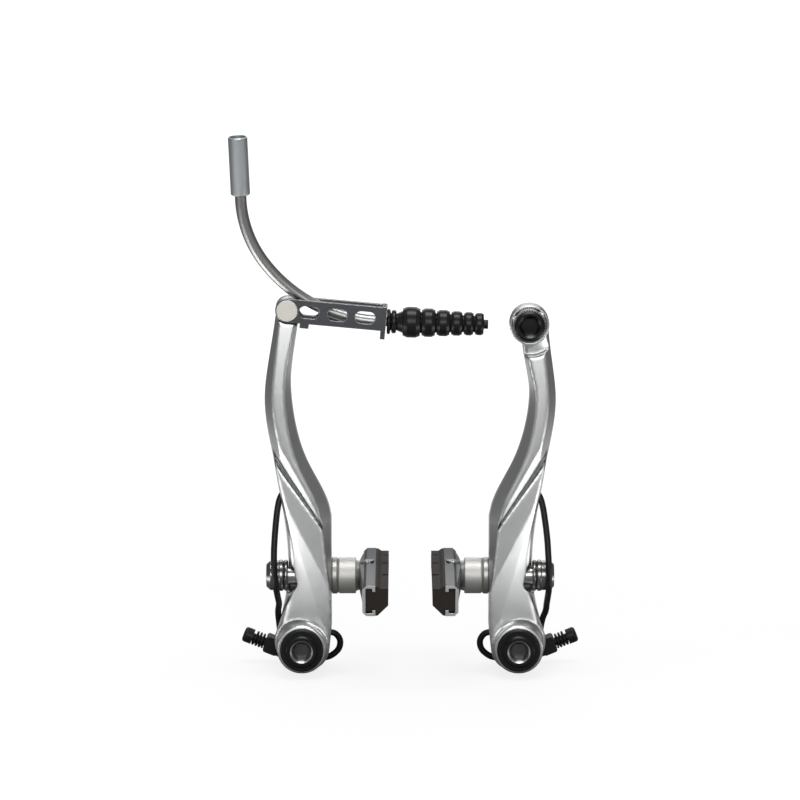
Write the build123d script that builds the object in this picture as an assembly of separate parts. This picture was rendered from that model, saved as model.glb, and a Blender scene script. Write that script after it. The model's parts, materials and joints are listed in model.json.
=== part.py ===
from build123d import *
from math import degrees
import os

os.makedirs("parts", exist_ok=True)

# The pair of arms, seen from the front: X to the right, Y away from the viewer, Z up
PIVOT_SPACING = 68.0
PIVOT_X = PIVOT_SPACING / 2
RUN = 0.05  # radial clearance of parts that turn
SEAT = 0.02  # radial clearance of parts that are pushed together
GAP = 0.3  # space between parts that pass each other
FAR = 200.0  # reach of a cut that goes right through

# Pivot: bush, washer, bolt
BOSS_R = 7.8
BOSS_FRONT = -9.0
ARM_BACK = 5.5
BUSH_R = 5.5
BUSH_LENGTH = 25.2
BUSH_PROUD = 0.2
BUSH_BORE_R = 4.06
COLLAR = 3.0
NECK_R = 3.4
THREAD_R = 2.9
THREAD_LENGTH = 14.5
BOLT_HEAD_R = 5.0
BOLT_HEAD = 2.2
BOLT_BEVEL = 0.5
WASHER_R = 6.8
WASHER = 1.2
HEX_SOCKET = 5.0
SOCKET_DEPTH = 4.0
SOCKET_MOUTH_R = 3.6

# Arm: its outlines are points of distance outwards from the pivot, and height
POST_Z = 22.0
POST_R = 3.0
FOOT_R = 8.7
INNER_FACE = -9.3
OUTER_FACE = 4.4
BAR_OUTER = ((10.6, 88.0), (11.5, 78.5), (9.6, 63.5), (7.6, 54.0))
BAR_INNER = ((-7.9, 46.0), (-1.2, 59.5), (3.2, 80.0))
BAR_HEEL = (-2.0, 30.0)
BAR_START = 39.0
BAR_FRONT = ((-7.0, 28.0), (-6.7, 68.0), (-3.2, 112.0))
BAR_BACK = 4.6
FLANK_START = -1.6
FLANK_FRONT = -7.2
FLANK_INNER = (3.6, 3.3, 2.7, 2.2, 1.8)
FLANK_OUTER = 2.9
BLOCK_OUTER = ((9.0, 62.0), (7.4, 51.4), (4.6, 33.0), (OUTER_FACE, 24.0), (5.4, 14.5), (8.0, 4.0))
BLOCK_INNER = ((-8.6, -1.0), (INNER_FACE, 6.0), (INNER_FACE, 41.0), (-5.0, 46.0))
SLOT_SLACK = 0.25
SLOT_TRAVEL = 4.0
GROOVE_TOP = (9.3, -4.8, 63.8)
GROOVE_END = (-7.3, -7.2, 38.5)
GROOVE_SIDE = (1.6, 2.0, -1.0)
GROOVE_SINK = (0.75, 0.35)
GROOVE_R = (1.15, 0.3)
GROOVE_RUNOUT = 0.25
RIDGE_TOP = (6.4, -4.5, 48.0)
RIDGE_1_END = (-7.6, -7.4, 21.8)
RIDGE_2_END = (-6.6, -6.2, 6.8)
PANEL_TOP = (9.3, -3.4, 63.8)
FLANK_LOW = (4.4, -2.0, 20.0)
FLANK_ROUND = 4.0

# Heads of the arms: each shoulder is a distance from the head's own axis
LINK_PIVOT = (4.3, 106.6)
LINK_SHOULDERS = ((-3.4, -3.6), (3.6, -1.6))
LINK_HEAD_R = 3.7
LINK_HEAD_HALF = 2.9
CLAMP_PIVOT = (3.1, 101.9)
CLAMP_SHOULDERS = ((-2.5, -4.9), (5.9, -0.9))
CLAMP_HEAD_R = 6.2
CLAMP_FACE = -3.4
CLAMP_SCOOP_R = 9.6
CLAMP_SCOOP = 1.3
CLAMP_SEAT = 1.0
CLAMP_WASHER_R = 5.1
CLAMP_WASHER = 1.4
CLAMP_BOLT_R = 4.7
CLAMP_BOLT_HEAD = 3.2
CLAMP_BOLT_BEVEL = 0.6
CLAMP_SOCKET = 2.5
CLAMP_SCREW_R = 2.5
CLAMP_SCREW_PROUD = 0.4
CABLE_R = 0.8
CABLE_RISE = 9.0

# Link and lead pipe
LINK_DROP = 5.2
LINK_HEIGHT = 7.4
LINK_LENGTH = 31.0
LINK_SHEET = 1.3
LINK_WALL = 1.5
LINK_SIDE = 0.15
LINK_SLOT = (6.3, 3.8)
LINK_SLOTS_AT = (6.9, 15.7, 24.4)
LINK_TAB = 2.9
STOP_AT = 5.7
STOP_SIZE = (2.8, 1.7)
STOP_ROOT = 0.3
RIVET_R = 2.0
RIVET_HEAD_R = 3.3
RIVET_HEAD = 0.8
RIVET_PLAY = 0.1
PIPE_R = 1.8
PIPE_BORE_R = 1.35
LINER_BORE_R = 0.85
TIP_R = 1.5
TIP_DROP = -1.2
TIP_TILT = 1.6
TIP_LENGTH = 6.0
PIPE_LEAN = 6.0
PIPE_BENDS = ((46.7, 51.8), (36.0, 34.3))
PIPE_STRAIGHT = 1.4
FERRULE_R = 3.0
FERRULE_LENGTH = 18.3
FERRULE_BORE_R = 2.55
FERRULE_BORE = 12.5
FERRULE_BEVEL = 0.35

# Boot: each bulge starts and ends at a distance from the link, with its radius
BOOT_BULGES = (
    (0.25, 1.35, 3.95),
    (1.65, 3.2, 3.65),
    (5.2, 10.6, 4.8),
    (11.1, 15.3, 4.45),
    (15.8, 19.8, 4.1),
    (20.3, 23.7, 3.83),
    (24.3, 27.2, 3.65),
    (27.7, 30.4, 3.5),
)
BOOT_WAIST = 0.72
BOOT_BEVEL_RUN = 0.25  # share of a bulge's length
BOOT_BEVEL_DROP = 0.12  # share of its radius
BOOT_TIP = 31.8
BOOT_TIP_R = 1.42
BOOT_NIPPLE = 1.3
BOOT_END_WALL = 3.0
BOOT_BORE_R = 2.0

# Shoe: stack of washers along the post, lengths along X
WASHER_BORE_R = 3.3
WASHER_EDGE = 0.4
DOME = 2.3
DOME_R = 5.75
DOME_CAP = 1.1
DOME_SHOULDER = 0.7
DOME_RIM = 0.5
SPACER = 5.4
SPACER_R = 5.65
CUP = 1.2
CUP_R = 4.9
HOLDER_BOSS = 1.0
HOLDER_BOSS_R = 5.2
HOLDER_DEPTH = 4.0
HOLDER_HEIGHT = 9.8
HOLDER_BEVEL = 1.2
HOLDER_WALL = 0.95
HOLDER_LIP = 1.0
HOLDER_RIB = 28.0
HOLDER_RIB_HALF = 4.0
HOLDER_END = 1.6
HOLDER_END_R = 2.4
PAD_THICK = 4.0
PAD_HEIGHT = 9.5
PAD_BEVEL = 3.3
PAD_SLACK = 0.15
PAD_RIB_SLACK = 0.5
PAD_SHOULDER = (0.6, 1.0, 0.8)
PAD_STAND = 0.02
PAD_SLOTS_AT = (-16.0, 0.0, 16.0)
PAD_SLOT = 1.6
PAD_SLOT_DEPTH = 2.0
PAD_END_BEVEL = 2.4
PIN_AT = -3.0
PIN_R = 0.9
PIN_HEAD_R = 1.5
PIN_HEAD = 0.6
PIN_LENGTH = 5.2
SHOE_LENGTH = 61.0
RIM_R = 240.0
OUTER_DOME = 1.5
OUTER_DOME_R = 4.9
OUTER_CUP = 1.3
NUT_LENGTH = 4.0
NUT_R = 4.65
NUT_END_R = 3.5
NUT_ROUND = 1.3
NUT_SOCKET = 2.4

# Return spring and its adjuster
WIRE_R = 0.85
BEND_R = 5.0
COIL_R = 6.7
COIL_PITCH = 2.1
COIL_TURNS = 1.25
LEG_RISE = 3.0
LEG = ((9.4, 6.7, 9.5), (9.4, -6.1, 17.0), (9.4, -6.1, 27.0), (8.6, -2.2, 44.0))
LEG_END = (5.2, -0.6, 49.5)
TAIL_RUN = 8.6
TAIL = ((-12.4, -1.6), (-10.2, 3.4))
HOOK_R = 1.3
HOLDER_R = 8.4
HOLDER_THICK = 4.0
LUG_AT = (10.0, -3.2)
LUG_RISE = 22.0
LUG = (4.6, 6.4, 5.2)
LUG_ROUND = 0.8
LUG_BEHIND = 2.7
LUG_ROOT = 3.6
SCREW_R = 1.25
SCREW_HEAD_R = 2.45
SCREW_HEAD = 3.0
SCREW_ROUND = 0.9
SCREW_FREE = 4.3
SCREW_SLOT = (0.7, 3.2)
ADJUSTER_WIRE_R = 0.34
ADJUSTER_COIL_R = 2.1
ADJUSTER_TURNS = 3.25
ADJUSTER_PLAY = 0.05

# Depths and places that follow from these
BUSH_FRONT = BOSS_FRONT - BUSH_PROUD
BUSH_BACK = BUSH_FRONT + BUSH_LENGTH
HEAD_SEAT = BUSH_FRONT - WASHER
HEAD_FRONT = HEAD_SEAT - BOLT_HEAD
COIL_FRONT = ARM_BACK + GAP + WIRE_R
HOLDER_FRONT = COIL_FRONT + COIL_PITCH * COIL_TURNS + 2 * WIRE_R
SHEET_INNER = LINK_HEAD_HALF + LINK_SIDE
SHEET_OUTER = SHEET_INNER + LINK_SHEET
DOME_END = INNER_FACE - DOME
SPACER_END = DOME_END - SPACER
SHOE_SEAT = SPACER_END - CUP
HOLDER_BACK = SHOE_SEAT - HOLDER_BOSS
HOLDER_MOUTH = HOLDER_BACK - HOLDER_DEPTH
PAD_FACE = HOLDER_MOUTH - PAD_THICK
OUTER_DOME_END = OUTER_FACE + OUTER_DOME
OUTER_CUP_END = OUTER_DOME_END + OUTER_CUP
NUT_END = OUTER_CUP_END + NUT_LENGTH


# Helpers: rods along Y, rods along X, plates in the XZ plane, turned shapes along X
def rod(radius, front, back, x=0.0, z=0.0):
    return extrude(Plane.XZ.offset(-back) * Pos(x, z) * Circle(radius), back - front)


def cross_rod(radius, x0, x1):
    return Pos((x0 + x1) / 2, 0, 0) * Rotation(0, 90, 0) * Cylinder(radius, x1 - x0)


def plate(sketch, front, back):
    return extrude(Plane.XZ.offset(-back) * sketch, back - front)


def turned(*edges):
    return revolve(make_face(Curve() + list(edges)), Axis.X)


def ring(x0, x1, bore, points):
    """A shape turned about X: its outer points from x0 to x1, and a bore through it."""
    return turned(Polyline((x0, bore), *points, (x1, bore), close=True))


def behind(p, q, r):
    """The space behind the plane through three points."""
    normal = (Vector(*q) - Vector(*p)).cross(Vector(*r) - Vector(*p))
    if normal.Y < 0:
        normal = -normal
    return Plane(origin=p, z_dir=normal) * Pos(0, 0, FAR / 2) * Box(FAR, FAR, FAR)


def hex_hole(front, depth):
    """A hexagon socket from the front, with a conical mouth."""
    hole = plate(RegularPolygon(HEX_SOCKET / 2, 6, major_radius=False), front - GAP, front + depth)
    mouth = SOCKET_MOUTH_R - HEX_SOCKET / 2
    cone = Cone(SOCKET_MOUTH_R, HEX_SOCKET / 2, mouth)
    return hole + Pos(0, front + mouth / 2, 0) * Rotation(-90, 0, 0) * cone


def wire(radius, path):
    return sweep(Plane(origin=path @ 0, z_dir=path % 0) * Circle(radius), path)


def shifted(points, by):
    return [(x + by, z) for x, z in points]


def save(solid, name):
    export_step(solid, "parts/" + name + ".step")


def place(solid, name, side):
    solid = Pos(PIVOT_X, 0, 0) * solid
    if side == "left":
        solid = mirror(solid, about=Plane.YZ)
    save(solid, side + "_" + name)


def both(solid, name):
    place(solid, name, "right")
    place(solid, name, "left")


# Arm: the curved upper bar lies over a faceted lower block
def bar_outline(pivot, shoulders, narrowed):
    """The bar's outline: the full one, or with narrowed 1 the one at the front of its flanks."""
    tops = [(pivot[0] + x, pivot[1] + z) for x, z in shoulders]
    outer_points = shifted((tops[1], *BAR_OUTER), -FLANK_OUTER * narrowed)
    inner_points = ((INNER_FACE, BAR_START), *BAR_INNER, tops[0])
    inner_points = [(x + inset * narrowed, z) for (x, z), inset in zip(inner_points, FLANK_INNER)]
    corner = (inner_points[0][0], BAR_HEEL[1])
    outer = Spline(*outer_points)
    heel = Polyline(outer_points[-1], BAR_HEEL, corner, inner_points[0])
    inner = Spline(*inner_points, tangents=((0, 1), (-0.15, 1)))
    return make_face(outer + heel + inner + Line(inner_points[-1], outer_points[0]))


def bar(pivot, shoulders):
    """The bar narrows towards its front, has a bowed front face, and ends at a slanted groove."""
    full = bar_outline(pivot, shoulders, 0)
    narrow = bar_outline(pivot, shoulders, 1)
    solid = plate(full, FLANK_START, BAR_BACK)
    flanks = [Plane.XZ.offset(-FLANK_START) * full, Plane.XZ.offset(-FLANK_FRONT) * narrow]
    solid += loft(flanks, ruled=True)
    low, middle, high = BAR_FRONT
    back = Polyline(high, (high[0], FAR), (BAR_BACK, FAR), (BAR_BACK, low[1]), low)
    side = ThreePointArc(low, middle, high) + back
    solid &= extrude(Plane.YZ * make_face(side), FAR, both=True)
    return solid & behind(GROOVE_TOP, GROOVE_END, Vector(*GROOVE_TOP) + Vector(*GROOVE_SIDE))


def groove():
    """A round groove along the foot of the bar's slanted end, wide at its outer end."""
    side = Vector(*GROOVE_SIDE)
    top = Vector(*GROOVE_TOP) + side * GROOVE_SINK[0]
    end = Vector(*GROOVE_END) + side * GROOVE_SINK[1]
    start = top + (top - end) * GROOVE_RUNOUT
    run = (end - start).length
    return Plane(origin=start, z_dir=end - start) * Pos(0, 0, run / 2) * Cone(*GROOVE_R, run)


def block():
    outer = Spline(*BLOCK_OUTER)
    sole = ThreePointArc(BLOCK_OUTER[-1], (0.0, -FOOT_R), BLOCK_INNER[0])
    inner = Polyline(*BLOCK_INNER, BLOCK_OUTER[0])
    solid = plate(make_face(outer + sole + inner), BOSS_FRONT, ARM_BACK)
    solid &= behind(RIDGE_TOP, RIDGE_1_END, PANEL_TOP)
    solid &= behind(RIDGE_TOP, RIDGE_1_END, RIDGE_2_END)
    solid &= behind(RIDGE_TOP, RIDGE_2_END, FLANK_LOW)
    flank_edge = solid.edges().filter_by(GeomType.BSPLINE).sort_by(SortBy.LENGTH)[-2:].sort_by(Axis.Y)[0]
    solid = fillet(flank_edge, FLANK_ROUND)
    seat = (INNER_FACE, -DOME_R - GAP, POST_Z)
    high = (INNER_FACE, FLANK_START, BAR_START)
    return solid & behind(seat, high, (INNER_FACE + FLANK_INNER[0], FLANK_FRONT, BAR_START))


def arm(upper):
    solid = upper + block() - groove() + rod(BOSS_R, BOSS_FRONT, ARM_BACK)
    solid -= rod(BUSH_R + RUN, -FAR, FAR)
    slot = SlotCenterToCenter(SLOT_TRAVEL, 2 * (POST_R + SLOT_SLACK), rotation=90)
    solid -= extrude(Plane.YZ * Pos(0, POST_Z) * slot, FAR, both=True)
    solid -= Pos(0, 0, POST_Z) * cross_rod(OUTER_DOME_R + GAP, OUTER_FACE, FAR)
    hook = Vector(*LEG_END) - Vector(*LEG[-1])
    return solid - wire(HOOK_R, Line(LEG[-1], Vector(*LEG_END) + hook.normalized() * GAP))


# Left head: a flat eye between the two sheets of the link, cleared all round for them
link_eye = rod(LINK_HEAD_R, -LINK_HEAD_HALF, LINK_HEAD_HALF, *LINK_PIVOT)
sweep_r = LINK_HEIGHT / 2 + GAP
link_strip = Pos(-LINK_LENGTH / 2, 0) * Rectangle(LINK_LENGTH, 2 * sweep_r)
link_room = Pos(*LINK_PIVOT) * (Circle(sweep_r) + Rotation(0, 0, LINK_DROP) * link_strip)
left_bar = bar(LINK_PIVOT, LINK_SHOULDERS)
left_bar -= plate(link_room, -FAR, -LINK_HEAD_HALF)
left_bar -= plate(link_room, LINK_HEAD_HALF, FAR)
left_arm = arm(left_bar + link_eye) - rod(RIVET_R + SEAT, -FAR, FAR, *LINK_PIVOT)
place(left_arm, "arm", "left")

# Right head: a round boss with a seat for the cable clamp and a trough for the cable
clamp_seat = CLAMP_FACE + CLAMP_SEAT
clamp_boss = rod(CLAMP_HEAD_R, CLAMP_FACE, BAR_BACK, *CLAMP_PIVOT)
scoop = Polyline(
    (0, CLAMP_FACE),
    (CLAMP_HEAD_R, CLAMP_FACE),
    (CLAMP_SCOOP_R, CLAMP_FACE + CLAMP_SCOOP),
    (CLAMP_SCOOP_R, -FAR),
    (0, -FAR),
    close=True,
)
clamp_place = Pos(CLAMP_PIVOT[0], 0, CLAMP_PIVOT[1])
right_bar = bar(CLAMP_PIVOT, CLAMP_SHOULDERS) - clamp_place * revolve(make_face(scoop), Axis.Y)
right_arm = arm(right_bar + clamp_boss)
right_arm -= rod(CLAMP_WASHER_R + GAP, -FAR, clamp_seat, *CLAMP_PIVOT)
right_arm -= rod(CLAMP_SCREW_R + SEAT, -FAR, FAR, *CLAMP_PIVOT)
trough = Pos(0, clamp_seat, CLAMP_SCREW_R + CABLE_R) * cross_rod(CABLE_R, -2 * CLAMP_HEAD_R, 2 * CLAMP_HEAD_R)
right_arm -= clamp_place * Rotation(0, -CABLE_RISE, 0) * trough
place(right_arm, "arm", "right")

# Cable clamp: washer and bolt
clamp_front = clamp_seat - CLAMP_WASHER
clamp_washer = rod(CLAMP_WASHER_R, clamp_front, clamp_seat) - rod(CLAMP_SCREW_R + SEAT, -FAR, FAR)
clamp_top = clamp_front - CLAMP_BOLT_HEAD
clamp_bolt = rod(CLAMP_BOLT_R, clamp_top, clamp_front)
clamp_bolt = chamfer(clamp_bolt.faces().sort_by(Axis.Y)[0].edges(), CLAMP_BOLT_BEVEL)
clamp_bolt += rod(CLAMP_SCREW_R, clamp_top + CLAMP_BOLT_HEAD / 2, BAR_BACK + CLAMP_SCREW_PROUD)
clamp_bolt -= hex_hole(clamp_top, CLAMP_SOCKET)
place(clamp_place * clamp_washer, "clamp_washer", "right")
place(clamp_place * clamp_bolt, "clamp_bolt", "right")

# Pivot: bush with a collar at the front, washer, bolt
bush = rod(BUSH_R, BUSH_FRONT, BUSH_BACK) - rod(BUSH_BORE_R, BUSH_FRONT + COLLAR, FAR)
bush -= rod(NECK_R + SEAT, -FAR, BUSH_BACK)
both(bush, "bush")
bolt_washer = rod(WASHER_R, HEAD_SEAT, BUSH_FRONT)
bolt_washer = chamfer(bolt_washer.faces().sort_by(Axis.Y)[0].edges(), BOLT_BEVEL)
both(bolt_washer - rod(NECK_R + SEAT, -FAR, FAR), "bolt_washer")
bolt = rod(BOLT_HEAD_R, HEAD_FRONT, HEAD_SEAT)
bolt = chamfer(bolt.faces().sort_by(Axis.Y)[0].edges(), BOLT_BEVEL)
bolt += rod(NECK_R, HEAD_SEAT - BOLT_HEAD / 2, BUSH_FRONT + COLLAR)
bolt += rod(THREAD_R, HEAD_SEAT, BUSH_FRONT + COLLAR + THREAD_LENGTH)
bolt -= hex_hole(HEAD_FRONT, SOCKET_DEPTH)
both(bolt, "pivot_bolt")

# Return spring: a coil behind the arm, a tail round the inner side and a leg up the outer side
coil = Pos(0, COIL_FRONT, 0) * Rotation(-90, 0, 0) * Helix(COIL_PITCH, COIL_PITCH * COIL_TURNS, COIL_R)
leg_knee = (coil @ 0) - (coil % 0) * LEG_RISE
leg = FilletPolyline(coil @ 0, leg_knee, *LEG, LEG_END, radius=BEND_R)
tail_knee = (coil @ 1) + (coil % 1) * TAIL_RUN
tail = FilletPolyline(coil @ 1, tail_knee, *[(x, tail_knee.Y, z) for x, z in TAIL], radius=BEND_R)
both(wire(WIRE_R, coil) + wire(WIRE_R, tail) + wire(WIRE_R, leg), "return_spring")

# Spring holder: a plastic ring on the bush with a lug for the adjusting screw
holder_back = HOLDER_FRONT + HOLDER_THICK
lug_place = Pos(LUG_AT[0], HOLDER_FRONT + LUG_BEHIND, LUG_AT[1]) * Rotation(0, -LUG_RISE, 0)
holder = rod(HOLDER_R, HOLDER_FRONT, holder_back)
holder += lug_place * fillet(Box(*LUG).edges().filter_by(Axis.Y), LUG_ROUND)
holder += lug_place * Pos(-LUG[0] / 2, 0, (LUG_ROOT - LUG[2]) / 2) * Box(LUG[0], HOLDER_THICK, LUG_ROOT)
holder -= rod(BUSH_R + SEAT, -FAR, FAR)
holder -= lug_place * cross_rod(SCREW_R + RUN, -2 * LUG[0], 2 * LUG[0])
both(holder, "spring_holder")

# Adjusting screw and the small spring under its head
screw_seat = LUG[0] / 2 + SCREW_FREE
screw_end = screw_seat + SCREW_HEAD
screw = cross_rod(SCREW_R, -LUG[0] / 2, screw_end - SCREW_ROUND)
head = cross_rod(SCREW_HEAD_R, screw_seat, screw_end)
screw += fillet(head.faces().sort_by(Axis.X)[-1].edges(), SCREW_ROUND)
for turn in (0, 90):
    screw -= Pos(screw_end, 0, 0) * Rotation(turn, 0, 0) * Box(SCREW_HEAD, *SCREW_SLOT)
both(lug_place * screw, "adjusting_screw")
coil_room = SCREW_FREE - 2 * (ADJUSTER_WIRE_R + ADJUSTER_PLAY)
turns = Helix(coil_room / ADJUSTER_TURNS, coil_room, ADJUSTER_COIL_R)
turns = Pos(LUG[0] / 2 + ADJUSTER_WIRE_R + ADJUSTER_PLAY, 0, 0) * Rotation(0, 90, 0) * turns
both(lug_place * wire(ADJUSTER_WIRE_R, turns), "adjuster_spring")


# Shoe washers: convex and concave pairs that let the shoe be aimed
def cap(x, direction, rim):
    """The rounded meeting line of a convex and a concave washer."""
    end = x + direction * DOME_CAP
    middle = (x + direction * DOME_CAP * 0.62, (rim + WASHER_BORE_R) / 2)
    return ThreePointArc((x, rim), middle, (end, WASHER_BORE_R)), end


def convex(x0, x1, radius, direction):
    rim = radius - DOME_RIM
    curve, end = cap(x1, direction, rim)
    outer = Polyline(
        (end, WASHER_BORE_R),
        (x0, WASHER_BORE_R),
        (x0, radius - WASHER_EDGE),
        (x0 + direction * WASHER_EDGE, radius),
        (x1 - direction * DOME_SHOULDER, radius),
        (x1, rim),
    )
    return turned(*outer.edges(), curve)


def concave(x0, x1, radius, rim, direction):
    curve, end = cap(x0, direction, rim)
    edge = WASHER_EDGE / 2
    outer = Polyline(
        (x0, rim),
        (x0, radius - edge),
        (x0 + direction * edge, radius),
        (x1 - direction * edge, radius),
        (x1, radius - edge),
        (x1, WASHER_BORE_R),
        (end, WASHER_BORE_R),
    )
    return turned(*outer.edges(), curve)


on_post = Pos(0, 0, POST_Z)
both(on_post * convex(INNER_FACE, DOME_END, DOME_R, -1), "inner_dome")
both(on_post * concave(DOME_END, SPACER_END, SPACER_R, DOME_R - DOME_RIM, -1), "spacer")
washer_points = ((SPACER_END, CUP_R), (SHOE_SEAT, CUP_R - WASHER_EDGE))
both(on_post * ring(SPACER_END, SHOE_SEAT, WASHER_BORE_R, washer_points), "shoe_washer")
both(on_post * convex(OUTER_FACE, OUTER_DOME_END, OUTER_DOME_R, 1), "outer_dome")
both(on_post * concave(OUTER_DOME_END, OUTER_CUP_END, OUTER_DOME_R, OUTER_DOME_R - DOME_RIM, 1), "outer_cup")

# Nut with a hexagon socket in its rounded end, and the post that it pulls
nut_points = (
    (OUTER_CUP_END, NUT_R),
    (NUT_END - NUT_ROUND, NUT_R),
    (NUT_END - WASHER_EDGE, NUT_END_R + WASHER_EDGE),
    (NUT_END, NUT_END_R),
)
nut = ring(OUTER_CUP_END, NUT_END, 0, nut_points)
nut -= cross_rod(POST_R + SEAT, OUTER_CUP_END - GAP, NUT_END - NUT_SOCKET)
hexagon = RegularPolygon(HEX_SOCKET / 2, 6, major_radius=False)
nut -= extrude(Plane.YZ.offset(NUT_END - NUT_SOCKET) * hexagon, FAR)
both(on_post * nut, "shoe_nut")
both(on_post * cross_rod(POST_R, HOLDER_BACK - HOLDER_WALL, NUT_END - NUT_SOCKET - GAP), "shoe_post")


# Shoe holder and pad: profiles turned about the wheel's axle, so that they follow the rim
def along_rim(points, near, far):
    """A profile carried along the rim, from near to far along its length."""
    axle = Axis((0, 0, -RIM_R), (-1, 0, 0))
    face = make_face(Plane.XZ * Polyline(*points, close=True))
    return on_post * revolve(face.rotate(axle, degrees(near / RIM_R)), axle, degrees((far - near) / RIM_R))


NEAR_END = -SHOE_LENGTH / 2
FAR_END = SHOE_LENGTH / 2
half = HOLDER_HEIGHT / 2
inner = half - HOLDER_WALL
mouth = inner - HOLDER_LIP
floor = HOLDER_BACK - HOLDER_WALL
lip = HOLDER_MOUTH + HOLDER_WALL
casing = (
    (HOLDER_BACK, half - HOLDER_BEVEL),
    (HOLDER_BACK - HOLDER_BEVEL, half),
    (HOLDER_MOUTH, half),
    (HOLDER_MOUTH, -half),
    (HOLDER_BACK - HOLDER_BEVEL, -half),
    (HOLDER_BACK, HOLDER_BEVEL - half),
)


def tee(back, step, front, wide, narrow):
    """The outline of the channel, or of the pad's rib in it: wide inside, narrow through the lips."""
    upper = ((back, wide), (step, wide), (step, narrow), (front, narrow))
    return upper + tuple((x, -z) for x, z in reversed(upper))


shoe = along_rim(casing, NEAR_END, FAR_END)
shoe = fillet(shoe.faces().sort_by(Axis.Y)[-1].edges().filter_by(Axis.X), HOLDER_END_R)
channel = tee(floor, lip, HOLDER_MOUTH - GAP, inner, mouth)
shoe -= along_rim(channel, NEAR_END - GAP, FAR_END - HOLDER_END)
root = HOLDER_BACK - HOLDER_WALL / 2
web = ((SHOE_SEAT, -HOLDER_BOSS_R), (SHOE_SEAT, HOLDER_BOSS_R), (root, HOLDER_RIB), (root, -HOLDER_RIB))
low, high = -HOLDER_RIB_HALF, HOLDER_RIB_HALF
band = along_rim(((root, low), (SHOE_SEAT, low), (SHOE_SEAT, high), (root, high)), NEAR_END, FAR_END)
shoe += on_post * extrude(make_face(Polyline(*web, close=True)), HOLDER_HEIGHT, both=True) & band
shoe += on_post * cross_rod(HOLDER_BOSS_R - WASHER_EDGE, root, SHOE_SEAT)
shoe -= on_post * cross_rod(POST_R + SEAT, floor - GAP, SHOE_SEAT + GAP)
pin_x = (floor + lip) / 2
pin_top = POST_Z + half
pin_hole = Pos(pin_x, PIN_AT, pin_top) * Cylinder(PIN_R + SEAT, 2 * HOLDER_HEIGHT)
both(shoe - pin_hole, "shoe_holder")

pad_back = HOLDER_MOUTH - PAD_STAND
pad_half = PAD_HEIGHT / 2
flat, slope, drop = PAD_SHOULDER
block_outline = (
    (pad_back, pad_half),
    (pad_back - flat, pad_half),
    (pad_back - flat - slope, pad_half - drop),
    (PAD_FACE, pad_half - drop),
    (PAD_FACE, PAD_BEVEL - pad_half),
    (PAD_FACE + PAD_BEVEL, -pad_half),
    (pad_back, -pad_half),
)
pad = along_rim(block_outline, NEAR_END, FAR_END)
far_edges = pad.faces().sort_by(Axis.Y)[-1].edges().filter_by(Axis.X)
pad = chamfer(far_edges.sort_by(Axis.Z)[-1:], PAD_END_BEVEL)
rib = tee(floor - PAD_SLACK, lip + PAD_SLACK, pad_back, inner - PAD_RIB_SLACK, mouth - PAD_SLACK)
pad += along_rim(rib, NEAR_END, FAR_END - HOLDER_END - PAD_SLACK)
for slot_y in PAD_SLOTS_AT:
    pad -= Pos(PAD_FACE, slot_y, POST_Z) * Box(2 * PAD_SLOT_DEPTH, PAD_SLOT, 3 * PAD_HEIGHT)
both(pad - pin_hole, "pad")
pin = Pos(pin_x, PIN_AT, pin_top - PIN_LENGTH / 2 + PIN_HEAD / 2) * Cylinder(PIN_R, PIN_LENGTH + PIN_HEAD)
pin += Pos(pin_x, PIN_AT, pin_top + PIN_HEAD / 2) * Cylinder(PIN_HEAD_R, PIN_HEAD)
both(pin, "pad_pin")

# Link: one sheet folded round the lead pipe, with slots, an end wall and a stop under the arm
link_place = Pos(-PIVOT_X - LINK_PIVOT[0], 0, LINK_PIVOT[1]) * Rotation(0, LINK_DROP, 0)
high = LINK_HEIGHT / 2
cheek = Pos(LINK_LENGTH / 2, 0) * Rectangle(LINK_LENGTH, LINK_HEIGHT) + Circle(high)
for at in LINK_SLOTS_AT:
    cheek -= Pos(at, 0) * SlotOverall(*LINK_SLOT)
cheek -= Circle(RIVET_R + RUN)
link = plate(cheek, -SHEET_OUTER, -SHEET_INNER) + plate(cheek, SHEET_INNER, SHEET_OUTER)
wall_x = LINK_LENGTH - LINK_WALL / 2
link += Pos(wall_x, 0, 0) * Box(LINK_WALL, 2 * SHEET_OUTER, LINK_HEIGHT + STOP_ROOT)
link += Pos(wall_x, 0, -high - LINK_TAB / 2) * Box(LINK_WALL, SHEET_OUTER, LINK_TAB)
stop = Box(STOP_SIZE[0], 2 * SHEET_OUTER, STOP_SIZE[1])
link += Pos(STOP_AT, 0, STOP_ROOT - high - STOP_SIZE[1] / 2) * stop
tip_place = link_place * Pos(LINK_LENGTH, 0, TIP_DROP) * Rotation(0, TIP_TILT - LINK_DROP, 0)
tip_hole = cross_rod(TIP_R + RUN, -3 * LINK_WALL, 3 * LINK_WALL)
save(link_place * link - tip_place * tip_hole, "link")

# Rivet through the link and the eye of the left arm
rivet_head = SHEET_OUTER + RIVET_PLAY
rivet = rod(RIVET_R, -rivet_head - RIVET_HEAD / 2, rivet_head + RIVET_HEAD / 2)
rivet += rod(RIVET_HEAD_R, -rivet_head - RIVET_HEAD, -rivet_head)
rivet += rod(RIVET_HEAD_R, rivet_head, rivet_head + RIVET_HEAD)
place(Pos(LINK_PIVOT[0], 0, LINK_PIVOT[1]) * rivet, "link_rivet", "left")

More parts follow.
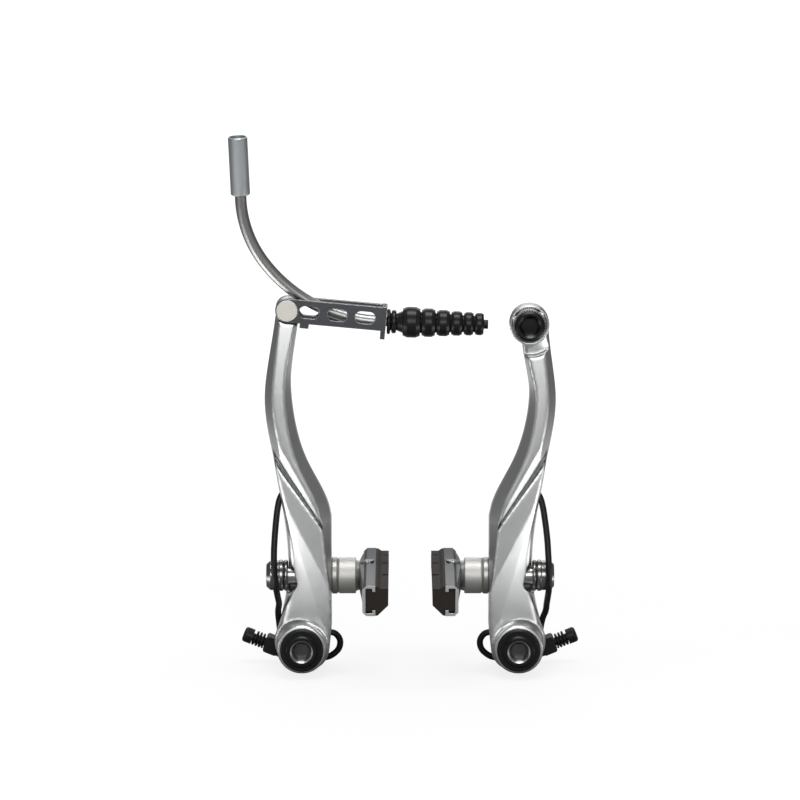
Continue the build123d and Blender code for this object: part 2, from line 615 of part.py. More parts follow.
# Lead pipe: a tube of two bends with a thin tip, an end ferrule and a plastic liner
pipe_place = tip_place * Rotation(PIPE_LEAN, 0, 0)
pipe_start = -LINK_WALL - LINK_SIDE
stub = FERRULE_LENGTH - FERRULE_BORE
low_bend = JernArc((pipe_start, 0), (-1, 0), PIPE_BENDS[0][0], -PIPE_BENDS[0][1])
high_bend = JernArc(low_bend @ 1, low_bend % 1, PIPE_BENDS[1][0], -PIPE_BENDS[1][1])
pipe_top = (high_bend @ 1) + (high_bend % 1) * PIPE_STRAIGHT
pipe_end = pipe_top + (high_bend % 1) * stub
run = Plane.XZ * Wire([low_bend, high_bend, Line(high_bend @ 1, pipe_end)])
pipe = wire(PIPE_R, run) + cross_rod(TIP_R, pipe_start, TIP_LENGTH)
pipe -= wire(PIPE_BORE_R, run)
pipe -= cross_rod(LINER_BORE_R, pipe_start - GAP, TIP_LENGTH + GAP)
save(pipe_place * pipe, "lead_pipe")
liner = wire(PIPE_BORE_R - SEAT, run) - wire(LINER_BORE_R, run)
save(pipe_place * liner, "liner")
ferrule_tilt = 90 - PIPE_BENDS[0][1] - PIPE_BENDS[1][1]
socket_place = Pos(pipe_top.X, 0, pipe_top.Y) * Rotation(0, -ferrule_tilt, 0)
ferrule = Pos(0, 0, FERRULE_LENGTH / 2) * Cylinder(FERRULE_R, FERRULE_LENGTH)
ferrule = chamfer(ferrule.edges().filter_by(GeomType.CIRCLE), FERRULE_BEVEL)
ferrule -= Pos(0, 0, stub) * Cylinder(PIPE_R + SEAT, 3 * FERRULE_LENGTH)
ferrule -= Pos(0, 0, stub + FERRULE_LENGTH / 2) * Cylinder(FERRULE_BORE_R, FERRULE_LENGTH)
save(pipe_place * socket_place * ferrule, "ferrule")

# Boot: rubber bellows pushed over the tip of the pipe
boot_points = []
for start, stop, radius in BOOT_BULGES:
    bevel = (stop - start) * BOOT_BEVEL_RUN
    waist = radius * BOOT_WAIST
    brow = radius * (1 - BOOT_BEVEL_DROP)
    boot_points += [(start, waist), (start, brow), (start + bevel, radius)]
    boot_points += [(stop - bevel, radius), (stop, brow), (stop, waist)]
boot_points += [(BOOT_TIP - BOOT_NIPPLE, BOOT_TIP_R), (BOOT_TIP, BOOT_TIP_R)]
boot = ring(BOOT_BULGES[0][0], BOOT_TIP, LINER_BORE_R, boot_points)
boot -= cross_rod(TIP_R + SEAT, -GAP, TIP_LENGTH + GAP)
boot -= cross_rod(BOOT_BORE_R, TIP_LENGTH, BOOT_TIP - BOOT_END_WALL)
save(tip_place * boot, "boot")
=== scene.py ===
import json
import math

import bmesh
import bpy
from mathutils import Matrix, Vector


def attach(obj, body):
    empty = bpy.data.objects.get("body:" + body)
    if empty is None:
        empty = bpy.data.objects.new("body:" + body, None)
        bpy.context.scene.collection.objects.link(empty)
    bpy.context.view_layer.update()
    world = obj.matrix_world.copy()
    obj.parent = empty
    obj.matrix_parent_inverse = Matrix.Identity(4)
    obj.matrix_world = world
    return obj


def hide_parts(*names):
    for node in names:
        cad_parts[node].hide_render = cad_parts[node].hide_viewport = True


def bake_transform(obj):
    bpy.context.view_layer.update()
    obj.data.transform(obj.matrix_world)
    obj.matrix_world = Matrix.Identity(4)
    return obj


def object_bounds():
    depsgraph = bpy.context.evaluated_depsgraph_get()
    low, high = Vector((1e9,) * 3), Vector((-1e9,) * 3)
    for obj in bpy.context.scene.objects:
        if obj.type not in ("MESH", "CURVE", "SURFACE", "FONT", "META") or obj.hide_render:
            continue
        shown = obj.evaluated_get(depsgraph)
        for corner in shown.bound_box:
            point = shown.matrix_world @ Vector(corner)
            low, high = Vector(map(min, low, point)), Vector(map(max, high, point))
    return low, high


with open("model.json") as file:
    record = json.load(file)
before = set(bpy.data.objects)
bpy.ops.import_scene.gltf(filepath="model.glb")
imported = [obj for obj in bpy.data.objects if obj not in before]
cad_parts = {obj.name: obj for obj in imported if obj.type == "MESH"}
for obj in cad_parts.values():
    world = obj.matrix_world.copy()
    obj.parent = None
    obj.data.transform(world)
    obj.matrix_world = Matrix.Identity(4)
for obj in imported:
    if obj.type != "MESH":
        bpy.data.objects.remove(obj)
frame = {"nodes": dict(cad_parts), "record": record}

CAD_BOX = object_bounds()
MM = 0.001
SIDES = (("left", -1.0), ("right", 1.0))
PIVOT_X = 34.0  # mm from the middle of the brake to each pivot


# Node trees: sockets used in Python expressions, and one method for every other node
def feed(tree, slot, value):
    """Link a wire to a socket, or set the socket to a plain value; a colour of three numbers is opaque."""
    if isinstance(value, Wire):
        tree.links.new(value.socket, slot)
    elif isinstance(value, tuple) and len(slot.default_value) == 4:
        slot.default_value = (*value, 1.0)
    else:
        slot.default_value = value


class Wire:
    """A socket whose value can be used in Python expressions."""

    def __init__(self, tree, socket):
        self.tree = tree
        self.socket = socket

    def maths(self, operation, *values):
        node = self.tree.nodes.new("ShaderNodeMath")
        node.operation = operation
        for slot, value in zip(node.inputs, values):
            feed(self.tree, slot, value)
        return Wire(self.tree, node.outputs[0])

    def __add__(self, other):
        return self.maths("ADD", self, other)

    def __radd__(self, other):
        return self.maths("ADD", other, self)

    def __sub__(self, other):
        return self.maths("SUBTRACT", self, other)

    def __rsub__(self, other):
        return self.maths("SUBTRACT", other, self)

    def __mul__(self, other):
        return self.maths("MULTIPLY", self, other)

    def __rmul__(self, other):
        return self.maths("MULTIPLY", other, self)

    def __truediv__(self, other):
        return self.maths("DIVIDE", self, other)

    def __rtruediv__(self, other):
        return self.maths("DIVIDE", other, self)

    def __pow__(self, other):
        return self.maths("POWER", self, other)

    def __abs__(self):
        return self.maths("ABSOLUTE", self)


class Bench:
    """A node tree under construction."""

    def __init__(self, tree, prefix=""):
        self.tree = tree
        self.prefix = prefix

    def node(self, kind, settings=None, out=0, **sockets):
        """Add a node: its settings, then its sockets by name, or by number as _0; gives one of its outputs."""
        node = self.tree.nodes.new(self.prefix + kind)
        for name, value in (settings or {}).items():
            if name == "stops":
                set_stops(node.color_ramp, value)
            else:
                setattr(node, name, value)
        for name, value in sockets.items():
            key = int(name[1:]) if name[0] == "_" else name.replace("_", " ")
            feed(self.tree, node.inputs[key], value)
        return Wire(self.tree, node.outputs[out])

    def light_rays(self):
        """Whether a ray comes from the camera, from a shiny surface, and through a clear one."""
        rays = ("Is Camera Ray", "Is Glossy Ray", "Is Transmission Ray")
        return [self.node("LightPath", out=ray) for ray in rays]


def set_stops(ramp, stops):
    while len(ramp.elements) < len(stops):
        ramp.elements.new(0.5)
    for element, (place, level) in zip(ramp.elements, stops):
        element.position = place
        element.color = (level, level, level, 1.0)


class Finish(Bench):
    """A material under construction, round its Principled shader."""

    def __init__(self, name, **sockets):
        self.material = bpy.data.materials.new(name)
        self.material.use_nodes = True
        super().__init__(self.material.node_tree, "ShaderNode")
        self.shader = self.tree.nodes["Principled BSDF"]
        for socket, value in sockets.items():
            self.set(socket.replace("_", " "), value)

    def set(self, socket, value):
        feed(self.tree, self.shader.inputs[socket], value)

    def spot(self):
        """The place on the object, in metres."""
        return self.node("TexCoord", out="Object")

    def axis(self, letter, vector):
        return self.node("SeparateXYZ", out=letter, Vector=vector)

    def dot(self, first, second):
        return self.node("VectorMath", {"operation": "DOT_PRODUCT"}, out="Value", _0=first, _1=second)

    def noise(self, scale, detail=4.0, roughness=0.55, where=None):
        return self.node("TexNoise", Vector=where or self.spot(), Scale=scale, Detail=detail, Roughness=roughness)

    def streaks(self, scales):
        """Noise with a scale of its own along each axis."""
        return self.noise(1.0, 3.0, 0.6, self.node("Mapping", Vector=self.spot(), Scale=scales))

    def between(self, mask, low, high):
        return self.node("Mix", {"data_type": "RGBA"}, out=2, _0=mask, _6=low, _7=high)

    def ramp(self, value, *stops):
        return self.node("ValToRGB", {"stops": stops}, Fac=value)

    def rounded(self, radius):
        """The surface's direction, with its edges rounded to a radius."""
        return self.node("Bevel", {"samples": 6}, Radius=radius)

    def edges(self, radius):
        """How much the surface turns within a radius: 0 on a plain face, up to 1 along its edges."""
        plain = self.node("NewGeometry", out="Normal")
        return self.ramp(1 - self.dot(self.rounded(radius), plain), (0.01, 0.0), (0.12, 1.0))

    def skin(self, height, strength, distance, edge):
        """Fine relief, over edges rounded to a radius."""
        soft = self.rounded(edge)
        self.set("Normal", self.node("Bump", Height=height, Strength=strength, Distance=distance, Normal=soft))


# Finishes; lengths in metres, noise scales in turns per metre
CLOUDS = 55.0
FINE_GRIT, FORGED_GRIT, CAST_GRIT = 4200.0, 2600.0, 3600.0


def satin_alloy(name, dark, light, roughness, grain=0.15, bare=None, worn=0.0005):
    """Fine-blasted metal: faint clouds in the colour, a fine even grain, and barer edges."""
    finish = Finish(name, Metallic=1.0)
    clouds = finish.noise(CLOUDS, 3.0)
    grit = finish.noise(FINE_GRIT, 2.0, 0.7)
    colour = finish.between(0.6 * clouds + 0.4 * grit, dark, light)
    if bare:
        colour = finish.between(finish.edges(worn), colour, bare)
    finish.set("Base Color", colour)
    finish.set("Roughness", roughness - 0.05 + 0.06 * clouds + 0.06 * grit)
    finish.skin(grit, grain, 0.00004, 0.0003)
    return finish.material


# The groove under each bar, darkened with painted shade: its upper and lower end on the right arm, and its half
# width there
GROOVE = (Vector((0.0445, -0.0033, 0.06305)), Vector((0.02726, -0.0065, 0.03815)))
GROOVE_WIDE, GROOVE_NARROW = 0.0015, 0.0007
GROOVE_PAINTED_SHADE = (0.05, 0.052, 0.054)


def groove_painted_shade_mask(finish):
    """Painted shade: 1 in the grooves under the bars, by the distance to each groove's line."""
    run = (GROOVE[1] - GROOVE[0]).length
    along = (GROOVE[1] - GROOVE[0]) / run
    x, y, z = [finish.axis(letter, finish.spot()) for letter in "XYZ"]
    point = finish.node("CombineXYZ", X=abs(x), Y=y, Z=z)
    point = finish.node("VectorMath", {"operation": "SUBTRACT"}, _0=point, _1=tuple(GROOVE[0]))
    far = finish.dot(point, tuple(along))
    away = (finish.dot(point, point) - far * far) ** 0.5
    width = GROOVE_WIDE - (GROOVE_WIDE - GROOVE_NARROW) / run * far
    before_end = finish.ramp(far / (2 * run), (0.5, 1.0), (0.51, 0.0))
    return finish.ramp(away / width, (0.6, 1.0), (1.0, 0.0)) * before_end


def forged_arm(name):
    """Fine-blasted forged alloy: faint clouds in the colour, a fine even grain, and painted shade darkening the
    grooves under the bars.
    """
    finish = Finish(name, Metallic=1.0)
    clouds = finish.noise(CLOUDS, 3.0)
    grit = finish.noise(FORGED_GRIT, 2.0, 0.7)
    colour = finish.between(0.6 * clouds + 0.4 * grit, (0.7, 0.708, 0.71), (0.88, 0.888, 0.89))
    # Painted shade: the base colour is darkened along the grooves under the bars
    finish.set("Base Color", finish.between(0.9 * groove_painted_shade_mask(finish), colour, GROOVE_PAINTED_SHADE))
    finish.set("Roughness", 0.26 + 0.06 * clouds + 0.1 * grit)
    finish.set("Normal", finish.node("Bump", Height=grit, Strength=0.25, Distance=0.00005))
    return finish.material


SAWN_FROM, SAWN_TO = 0.0285, 0.029  # how far forward a holder's sawn end lies


def sawn_casting(name):
    """Dark coated casting whose front end is sawn off bare, with worn edges."""
    finish = Finish(name, Metallic=1.0)
    clouds = finish.noise(90.0, 3.0)
    grit = finish.noise(CAST_GRIT, 2.0, 0.7)
    coated = finish.between(0.6 * clouds + 0.4 * grit, (0.095, 0.102, 0.106), (0.15, 0.158, 0.163))
    coated = finish.between(0.7 * finish.edges(0.0003), coated, (0.5, 0.5, 0.49))
    bare = finish.between(grit, (0.8, 0.8, 0.78), (0.95, 0.95, 0.93))
    facing = finish.axis("Y", finish.node("NewGeometry", out="Normal"))
    depth = finish.axis("Y", finish.spot())
    at_end = finish.ramp(0 - depth * 20.0, (SAWN_FROM * 20.0, 0.0), (SAWN_TO * 20.0, 1.0))
    sawn = finish.ramp(0 - facing, (0.9, 0.0), (0.95, 1.0)) * at_end
    finish.set("Base Color", finish.between(sawn, coated, bare))
    finish.set("Roughness", 0.34 + 0.08 * clouds + 0.06 * grit + 0.16 * sawn)
    finish.skin(grit, 0.15, 0.00004, 0.0003)
    return finish.material


def turned_metal(name, dark, light, roughness, axis):
    """Turned metal: fine rings along the axis it was turned about, 0 for X and 1 for Y."""
    finish = Finish(name, Metallic=1.0)
    rings = finish.streaks(tuple(FINE_GRIT if i == axis else 90.0 for i in range(3)))
    finish.set("Base Color", finish.between(rings, dark, light))
    finish.set("Roughness", roughness - 0.07 + 0.14 * rings)
    finish.skin(rings, 0.12, 0.00003, 0.0002)
    return finish.material


def black_oxide(name, level, roughness):
    """Blackened steel, a little uneven, with a fine pitted skin."""
    finish = Finish(name, Specular_IOR_Level=0.3)
    patches = finish.noise(260.0, 4.0)
    pits = finish.noise(3000.0, 2.0, 0.7)
    dark = (level * 0.6, level * 0.6, level * 0.64)
    light = (level * 1.4, level * 1.4, level * 1.45)
    colour = finish.between(patches, dark, light)
    finish.set("Base Color", finish.between(0.4 * finish.edges(0.0003), colour, (0.09, 0.09, 0.092)))
    finish.set("Roughness", roughness - 0.08 + 0.18 * patches)
    finish.skin(pits, 0.15, 0.00003, 0.0002)
    return finish.material


RIM_FROM, RIM_TO, SOCKET_FROM, SOCKET_TO = 0.3, 0.32, 0.35, 0.365  # radii round a bolt's axis, in cm
CM_PER_M = 100.0


def socket_steel(name, axis_x, axis_z, low, high, bright):
    """Blackened bolt head with a barer hexagon socket, its steel painted darker inside as painted shade, and a
    brighter worn rim round it.
    """
    finish = Finish(name, Specular_IOR_Level=0.3)
    point = finish.spot()
    aside = abs(finish.axis("X", point)) - axis_x
    above = finish.axis("Z", point) - axis_z
    radius = (aside * aside + above * above) ** 0.5 * CM_PER_M
    inside = finish.ramp(radius, (SOCKET_FROM, 1.0), (SOCKET_TO, 0.0))
    rim = finish.ramp(radius, (RIM_FROM, 0.0), (RIM_TO, 1.0)) * inside
    patches = finish.noise(300.0, 4.0)
    black = finish.between(patches, (0.004, 0.004, 0.0045), (0.01, 0.01, 0.0105))
    # Painted shade: low and high give the steel inside the socket a darker colour than the worn rim
    steel = finish.between(patches, (low, low, low * 0.98), (high, high * 0.99, high * 0.97))
    bare = finish.between(rim, steel, (bright, bright, bright * 0.97))
    finish.set("Base Color", finish.between(inside, black, bare))
    finish.set("Metallic", 1.0 * inside)
    finish.set("Roughness", 0.26 + 0.16 * patches)
    finish.skin(patches, 0.08, 0.00003, 0.0002)
    return finish.material


def moulded(name, low, high, roughness, scale, grain, edge=0.0002):
    """Moulded plastic or rubber with a fine skin texture."""
    finish = Finish(name, Specular_IOR_Level=0.35)
    cloud = finish.noise(120.0, 3.0)
    skin = finish.noise(scale, 3.0, 0.65)
    finish.set("Base Color", finish.between(cloud, low, high))
    finish.set("Roughness", roughness - 0.06 + 0.14 * skin)
    finish.skin(skin, grain, 0.00006, edge)
    return finish.material


def bright_plate(name):
    """Bright plating with faint cloudy marks."""
    finish = Finish(name, Metallic=1.0)
    marks = finish.noise(420.0, 4.0)
    finish.set("Base Color", finish.between(marks, (0.26, 0.26, 0.257), (0.36, 0.36, 0.352)))
    finish.set("Roughness", 0.2 + 0.12 * marks)
    finish.skin(marks, 0.05, 0.00003, 0.0003)
    return finish.material


def pad_compound(name):
    """Brake compound: matt dark brown with fine lighter specks and faint moulding lines."""
    finish = Finish(name, Specular_IOR_Level=0.3)
    cloud = finish.noise(170.0, 5.0)
    specks = finish.ramp(finish.noise(2600.0, 2.0, 0.7), (0.6, 0.0), (0.7, 1.0))
    lines = finish.streaks((1500.0, 40.0, 180.0))
    base = finish.between(0.5 * cloud + 0.5 * lines, (0.014, 0.011, 0.0095), (0.033, 0.026, 0.023))
    finish.set("Base Color", finish.between(0.3 * specks, base, (0.09, 0.075, 0.068)))
    finish.set("Roughness", 0.66 + 0.2 * cloud)
    finish.skin(specks + cloud + lines, 0.25, 0.00008, 0.0002)
    return finish.material


FINISHES = {
    "arm_alloy": forged_arm("arm_alloy"),
    "holder_grey": sawn_casting("holder_grey"),
    "spacer_alloy": satin_alloy("spacer_alloy", (0.66, 0.655, 0.63), (0.78, 0.775, 0.745), 0.55),
    "ferrule_alloy": satin_alloy("ferrule_alloy", (0.56, 0.6, 0.615), (0.66, 0.7, 0.715), 0.5),
    "link_steel": satin_alloy("link_steel", (0.09, 0.095, 0.104), (0.16, 0.167, 0.18), 0.4, bare=(0.45, 0.45, 0.45)),
    "pipe_steel": satin_alloy("pipe_steel", (0.4, 0.4, 0.395), (0.5, 0.5, 0.49), 0.36, grain=0.05),
    "steel": turned_metal("steel", (0.5, 0.5, 0.49), (0.64, 0.63, 0.62), 0.3, 0),
    "bush_steel": turned_metal("bush_steel", (0.45, 0.45, 0.44), (0.58, 0.57, 0.56), 0.3, 1),
    "washer": turned_metal("washer", (0.45, 0.45, 0.43), (0.57, 0.57, 0.545), 0.45, 0),
    "chromed": bright_plate("chromed"),
    "rivet": satin_alloy("rivet", (0.93, 0.91, 0.84), (0.98, 0.96, 0.89), 0.5),
    "black_steel": black_oxide("black_steel", 0.007, 0.42),
    "spring_black": black_oxide("spring_black", 0.007, 0.36),
    "black_plastic": moulded("black_plastic", (0.005, 0.005, 0.005), (0.011, 0.011, 0.011), 0.42, 1800.0, 0.3),
    "liner_plastic": moulded("liner_plastic", (0.7, 0.7, 0.66), (0.78, 0.78, 0.74), 0.5, 1500.0, 0.1),
    "boot_rubber": moulded(
        "boot_rubber", (0.004, 0.004, 0.0045), (0.008, 0.008, 0.0085), 0.34, 1400.0, 0.3, 0.0005
    ),
    "pad_rubber": pad_compound("pad_rubber"),
}
CLAMP_BOLT = (37.1, -5.1, 101.9)  # mm, the middle of its toothed rim
# The first two levels given to socket_steel are painted shade inside the sockets; the last level is the worn rim
PIVOT_SOCKET = socket_steel("pivot_socket", PIVOT_X * MM, 0.0, 0.1, 0.2, 0.62)
SOCKETS = {
    "left_pivot_bolt": PIVOT_SOCKET,
    "right_pivot_bolt": PIVOT_SOCKET,
    "right_clamp_bolt": socket_steel("clamp_socket", CLAMP_BOLT[0] * MM, CLAMP_BOLT[2] * MM, 0.03, 0.05, 0.07),
}
SLOT_OF = {item["node"]: item["material_slot"] for item in frame["record"]["subparts"]}


def paint(piece, finish):
    piece.data.materials.clear()
    piece.data.materials.append(finish)


for name, node in frame["nodes"].items():
    paint(node, SOCKETS.get(name) or FINISHES[SLOT_OF[name]])


def shown(name, data):
    """A new object in the scene."""
    piece = bpy.data.objects.new(name, data)
    bpy.context.scene.collection.objects.link(piece)
    return piece


def smooth(mesh):
    for polygon in mesh.polygons:
        polygon.use_smooth = True


def made_plain(piece):
    """Turn a piece and its modifiers into a plain mesh."""
    view = bpy.context.evaluated_depsgraph_get()
    piece.data = bpy.data.meshes.new_from_object(piece.evaluated_get(view))
    piece.modifiers.clear()


# Arms: forged shapes, with soft shoulders on the bar and the boss and crisper ridges between the facets
FORGING_GRAIN = 0.26 * MM
SHOULDER_ROUNDS = 60
SOFTNESS = ((0.006, 0.7), (0.013, 0.35), (0.04, 0.4), (0.06, 1.0), (0.09, 1.0), (0.097, 0.35))  # height, share
MERGE = 1e-6


def level_at(height, steps):
    if height <= steps[0][0]:
        return steps[0][1]
    for (z0, low), (z1, high) in zip(steps, steps[1:]):
        if height <= z1:
            return low + (high - low) * (height - z0) / (z1 - z0)
    return steps[-1][1]


def merged_copy(node, name):
    mesh = frame["nodes"][node].data.copy()
    solid = bmesh.new()
    solid.from_mesh(mesh)
    bmesh.ops.remove_doubles(solid, verts=solid.verts, dist=MERGE)
    solid.to_mesh(mesh)
    solid.free()
    smooth(mesh)
    return shown(name, mesh)


def forged_copy(node, name):
    piece = merged_copy(node, name)
    grain = piece.modifiers.new("grain", "REMESH")
    grain.mode = "VOXEL"
    grain.voxel_size = FORGING_GRAIN
    made_plain(piece)
    group = piece.vertex_groups.new(name="softness")
    for vertex in piece.data.vertices:
        group.add([vertex.index], level_at(vertex.co.z, SOFTNESS), "REPLACE")
    shoulders = piece.modifiers.new("shoulders", "SMOOTH")
    shoulders.factor = 0.5
    shoulders.iterations = SHOULDER_ROUNDS
    shoulders.vertex_group = group.name
    made_plain(piece)
    piece.vertex_groups.clear()
    smooth(piece.data)
    return piece


for side, _ in SIDES:
    node = side + "_arm"
    arm = forged_copy(node, node + "_forging")
    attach(arm, node)
    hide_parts(node)
    paint(arm, FINISHES["arm_alloy"])


# Geometry Nodes: shapes that follow a path or repeat
class Maker(Bench):
    """A Geometry Nodes tree under construction, with named inputs for its sizes."""

    def __init__(self, name, path=False, **sizes):
        super().__init__(bpy.data.node_groups.new(name, "GeometryNodeTree"))
        face = self.tree.interface
        if path:
            face.new_socket("Path", in_out="INPUT", socket_type="NodeSocketGeometry")
        self.values = {}
        for size, value in sizes.items():
            kind = "NodeSocketInt" if isinstance(value, int) else "NodeSocketFloat"
            self.values[face.new_socket(size, in_out="INPUT", socket_type=kind).identifier] = value
        face.new_socket("Geometry", in_out="OUTPUT", socket_type="NodeSocketGeometry")
        self.given = self.tree.nodes.new("NodeGroupInput")

    def size(self, name):
        """One of the tree's named inputs."""
        return Wire(self.tree, self.given.outputs[name])

    def circle(self, resolution, size):
        return self.node("GeometryNodeCurvePrimitiveCircle", Resolution=resolution, Radius=self.size(size))

    def piece(self, name, shape, finish, mesh=None):
        """Make the shape a plain mesh on an object of its own."""
        shape = self.node("GeometryNodeRealizeInstances", Geometry=shape)
        shape = self.node("GeometryNodeSetMaterial", Geometry=shape, Material=finish)
        self.tree.links.new(shape.socket, self.tree.nodes.new("NodeGroupOutput").inputs[0])
        piece = shown(name, mesh or bpy.data.meshes.new(name))
        modifier = piece.modifiers.new(name, "NODES")
        modifier.node_group = self.tree
        for key, value in self.values.items():
            modifier[key] = value
        made_plain(piece)
        return piece


def bent_wire(name, points, radius, finish):
    """A round wire bent smoothly through its points."""
    mesh = bpy.data.meshes.new(name)
    mesh.from_pydata(points, [(i, i + 1) for i in range(len(points) - 1)], [])
    maker = Maker(name, path=True, Radius=radius)
    line = maker.node("GeometryNodeMeshToCurve", Mesh=maker.size("Path"))
    line = maker.node("GeometryNodeCurveSplineType", {"spline_type": "BEZIER"}, Curve=line)
    line = maker.node("GeometryNodeCurveSetHandles", {"handle_type": "AUTO"}, Curve=line)
    section = maker.circle(20, "Radius")
    tube = maker.node("GeometryNodeCurveToMesh", Curve=line, Profile_Curve=section, Fill_Caps=True)
    return maker.piece(name, maker.node("GeometryNodeSetShadeSmooth", Geometry=tube), finish, mesh)


def serration(name, teeth, radius, size, depth, finish):
    """Teeth round a rim about Z."""
    maker = Maker(name, Teeth=teeth, Radius=radius, Size=size, Depth=depth)
    rim = maker.node("GeometryNodeMeshCircle", Vertices=maker.size("Teeth"), Radius=maker.size("Radius"))
    tooth = maker.node(
        "GeometryNodeMeshCylinder", Vertices=3, Radius=maker.size("Size"), Depth=maker.size("Depth")
    )
    turn = maker.node("GeometryNodeInputIndex") * (2 * math.pi) / maker.size("Teeth")
    turn = maker.node("FunctionNodeEulerToRotation", Euler=maker.node("ShaderNodeCombineXYZ", Z=turn))
    ring = maker.node("GeometryNodeInstanceOnPoints", Points=rim, Instance=tooth, Rotation=turn)
    return maker.piece(name, ring, finish)


def thread(name, turns, radius, pitch, depth, finish):
    """Thread crests round a screw along Z."""
    maker = Maker(name, Turns=turns, Radius=radius, Pitch=pitch, Depth=depth)
    step = maker.node("ShaderNodeCombineXYZ", Z=maker.size("Pitch"))
    line = maker.node("GeometryNodeMeshLine", Count=maker.size("Turns"), Offset=step)
    crest = maker.node(
        "GeometryNodeCurveToMesh", Curve=maker.circle(28, "Radius"), Profile_Curve=maker.circle(4, "Depth")
    )
    ring = maker.node("GeometryNodeInstanceOnPoints", Points=line, Instance=crest)
    return maker.piece(name, ring, finish)


def put(piece, place, axis, body):
    """Stand a piece made along Z on a place, along an axis, and let it ride a body."""
    turn = Vector((0.0, 0.0, 1.0)).rotation_difference(Vector(axis)).to_matrix().to_4x4()
    piece.data.transform(Matrix.Translation(Vector(place) * MM) @ turn)
    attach(piece, body)


# Return springs: a coil, a tail tucked behind the arm and a bowed leg.
# Millimetres, out from the pivot's axis, back from the front and up from the pivot.
SPRING_WIRE = 1.0 * MM
COIL_R, COIL_START, COIL_PITCH = 6.7, 6.85, 2.1
COIL_STEPS = [450 - 30 * i for i in range(16)]
TAIL = ((-8.3, 1.9), (-10.6, 1.0), (-11.8, -2.0), (-9.6, -5.4), (-5.0, -6.7))  # out, up
LEG_DEPTHS = (  # back, up
    (6.7, 6.5), (4.4, 9.6), (0.0, 13.0), (-3.9, 16.0), (-6.0, 19.0), (-6.3, 22.5), (-6.3, 26.0),
    (-5.6, 30.0), (-4.4, 34.5), (-2.9, 41.0), (-2.2, 44.0), (-1.33, 47.0), (-0.6, 49.5),
)
LEG_OUT = {
    "left": (7.6, 7.7, 7.3, 7.6, 8.0, 8.35, 8.6, 8.65, 8.45, 7.9, 7.5, 6.75, 5.2),
    "right": (7.9, 8.8, 9.0, 9.2, 9.45, 9.5, 9.4, 9.2, 8.9, 8.1, 7.6, 6.75, 5.2),
}


def coil_point(step):
    angle = math.radians(step)
    return COIL_R * math.cos(angle), COIL_START + COIL_PITCH * step / 360, -COIL_R * math.sin(angle)


def spring_points(side, sign):
    coil_end = COIL_START + COIL_PITCH * COIL_STEPS[0] / 360
    points = [(out, coil_end, up) for out, up in TAIL]
    points += [coil_point(step) for step in COIL_STEPS]
    points += [(out, back, up) for out, (back, up) in zip(LEG_OUT[side], LEG_DEPTHS)]
    return [(sign * (out + PIVOT_X) * MM, back * MM, up * MM) for out, back, up in points]


for side, sign in SIDES:
    node = side + "_return_spring"
    spring = bent_wire(node + "_wire", spring_points(side, sign), SPRING_WIRE, FINISHES["spring_black"])
    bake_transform(spring)
    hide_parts(node)

# Teeth round the clamp bolt's head, and threads on the adjusting screws and the pivot bolts
BLACK_STEEL = FINISHES["black_steel"]
FORWARD, BACKWARD = (0.0, -1.0, 0.0), (0.0, 1.0, 0.0)
CLAMP_TEETH, RIM_R, TOOTH_R, RIM_WIDE = 36, 4.62 * MM, 0.42 * MM, 2.2 * MM
SCREW_TURNS, SCREW_R, SCREW_PITCH, SCREW_CREST = 8, 1.2 * MM, 0.5 * MM, 0.2 * MM
BOLT_TURNS, BOLT_R, BOLT_PITCH, BOLT_CREST = 12, 2.75 * MM, 1.0 * MM, 0.5 * MM
BOLT_START = -3.5
ADJUSTER_OUT, ADJUSTER_BACK, ADJUSTER_UP = 44.0, 13.675, -3.2
ADJUSTER_LEAN = (0.92718, 0.37461)  # its axis: out, up
THREAD_START = 2.6
teeth = serration("clamp_bolt_teeth", CLAMP_TEETH, RIM_R, TOOTH_R, RIM_WIDE, BLACK_STEEL)
put(teeth, CLAMP_BOLT, FORWARD, "right_arm")
for side, sign in SIDES:
    along = Vector((sign * ADJUSTER_LEAN[0], 0.0, ADJUSTER_LEAN[1]))
    start = Vector((sign * ADJUSTER_OUT, ADJUSTER_BACK, ADJUSTER_UP)) + THREAD_START * along
    screw = thread(side + "_adjuster_thread", SCREW_TURNS, SCREW_R, SCREW_PITCH, SCREW_CREST, BLACK_STEEL)
    put(screw, start, along, side + "_adjuster")
    bolt = thread(side + "_pivot_thread", BOLT_TURNS, BOLT_R, BOLT_PITCH, BOLT_CREST, BLACK_STEEL)
    put(bolt, (sign * PIVOT_X, BOLT_START, 0.0), BACKWARD, "pivots")

# Camera at the photograph's angle
AIM = Vector((-3.2, 0.0, 77.84)) * MM
DISTANCE = 1.3
RISE = math.radians(9.0)
camera = shown("camera", bpy.data.cameras.new("camera"))
camera.data.lens = 187.2
camera.data.sensor_width = 36.0
camera.data.clip_start = 0.05
camera.location = AIM + DISTANCE * Vector((0.0, -math.cos(RISE), math.sin(RISE)))
camera.rotation_euler = (math.radians(90.0) - RISE, 0.0, 0.0)
bpy.context.scene.camera = camera

# Floor and studio light; lengths in metres
FLOOR = CAD_BOX[0][2] - 0.0002
WIDE = 8.0
ABOVE = 1.0
CARD_X, CARD_Y, CARD_SIZE, CARD_POWER = 0.155, -0.09, (0.08, 0.2), 0.16
STRIP_X, STRIP_Y, STRIP_Z, STRIP_SIZE, STRIP_POWER = 0.75, -0.62, 0.4, (0.25, 0.55), 0.2


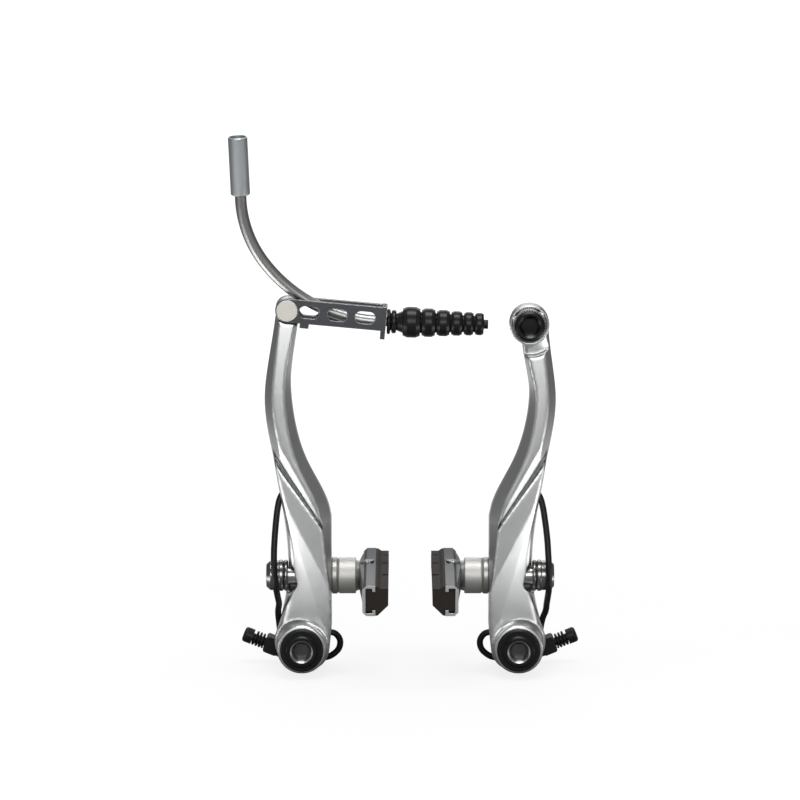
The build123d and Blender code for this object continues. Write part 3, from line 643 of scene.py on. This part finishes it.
def floor_finish():
    """White to the camera; dark to the metal but for painted reflections, glowing patches for a card on each side
    and a sheet further back; with soft shadows.
    """
    finish = Finish("floor", Roughness=0.9, Specular_IOR_Level=0.1, Emission_Strength=1.0)
    point = finish.spot()
    aside = abs(finish.axis("X", point))
    depth = finish.axis("Y", point)
    # Painted reflections: floor patches that glow only to shiny and clear surfaces
    painted_reflection_cards = finish.ramp(aside, (0.09, 0.0), (0.13, 0.8), (0.25, 0.8), (0.36, 0.0))
    painted_reflection_cards = painted_reflection_cards * finish.ramp(abs(depth + 0.1), (0.08, 1.0), (0.14, 0.0))
    painted_reflection_sheet = finish.ramp(aside, (0.16, 0.6), (0.26, 0.0))
    painted_reflection_sheet = painted_reflection_sheet * finish.ramp(depth, (0.06, 0.0), (0.12, 1.0), (0.5, 1.0), (0.7, 0.0))
    tint = finish.noise(6.0, 2.0)
    finish.set("Base Color", finish.between(tint, (0.11, 0.11, 0.11), (0.13, 0.13, 0.13)))
    away = finish.node("VectorMath", {"operation": "LENGTH"}, out="Value", _0=point)
    from_camera, glossy, clear = finish.light_rays()
    # Emission: white to the camera, and the painted reflections to shiny and clear rays
    white = from_camera + (1 - from_camera) * (painted_reflection_cards + painted_reflection_sheet) * (glossy + clear)
    glow = finish.ramp(away, (0.15, 0.82), (0.7, 1.0)) * white
    finish.set("Emission Color", finish.between(glow, (0.0, 0.0, 0.0), (1.0, 1.0, 1.0)))
    return finish.material


def softbox(name, place, size, power, aim=(0.0, 0.0, 0.06)):
    lamp = bpy.data.lights.new(name, "AREA")
    lamp.shape = "RECTANGLE"
    lamp.size, lamp.size_y = size
    lamp.energy = power
    box = shown(name, lamp)
    box.location = place
    box.rotation_euler = (Vector(aim) - Vector(place)).to_track_quat("-Z", "Y").to_euler()
    box.visible_camera = False


corners = [(x * WIDE, y * WIDE, FLOOR) for x, y in ((-1, -1), (1, -1), (1, 1), (-1, 1))]
floor_mesh = bpy.data.meshes.new("floor")
floor_mesh.from_pydata(corners, [], [(0, 1, 2, 3)])
floor = shown("floor", floor_mesh)
paint(floor, floor_finish())
for side, sign in SIDES:
    softbox(side + "_strip", (sign * STRIP_X, STRIP_Y, STRIP_Z), STRIP_SIZE, STRIP_POWER)
softbox("front_box", (0.0, -1.6, 0.62), (0.9, 0.6), 7.6)
softbox("top_box", (0.0, -0.1, 0.9), (0.6, 0.35), 4.2)
softbox("back_box", (0.0, 1.5, 0.95), (1.4, 0.6), 6.0)
for side, sign in SIDES:
    x = sign * CARD_X
    softbox(side + "_card", (x, CARD_Y, FLOOR + 0.001), CARD_SIZE, CARD_POWER, (x, CARD_Y, ABOVE))

# The room: white to the camera, dim to shiny and clear surfaces
world = bpy.data.worlds.new("studio")
world.use_nodes = True
sky = world.node_tree.nodes["Background"].inputs
from_camera, glossy, clear = Bench(world.node_tree, "ShaderNode").light_rays()
feed(world.node_tree, sky["Color"], (1.0, 1.0, 1.0))
feed(world.node_tree, sky["Strength"], 0.8 + 0.2 * from_camera - 0.66 * (glossy + clear))
bpy.context.scene.world = world
bpy.context.scene.view_settings.view_transform = "Standard"
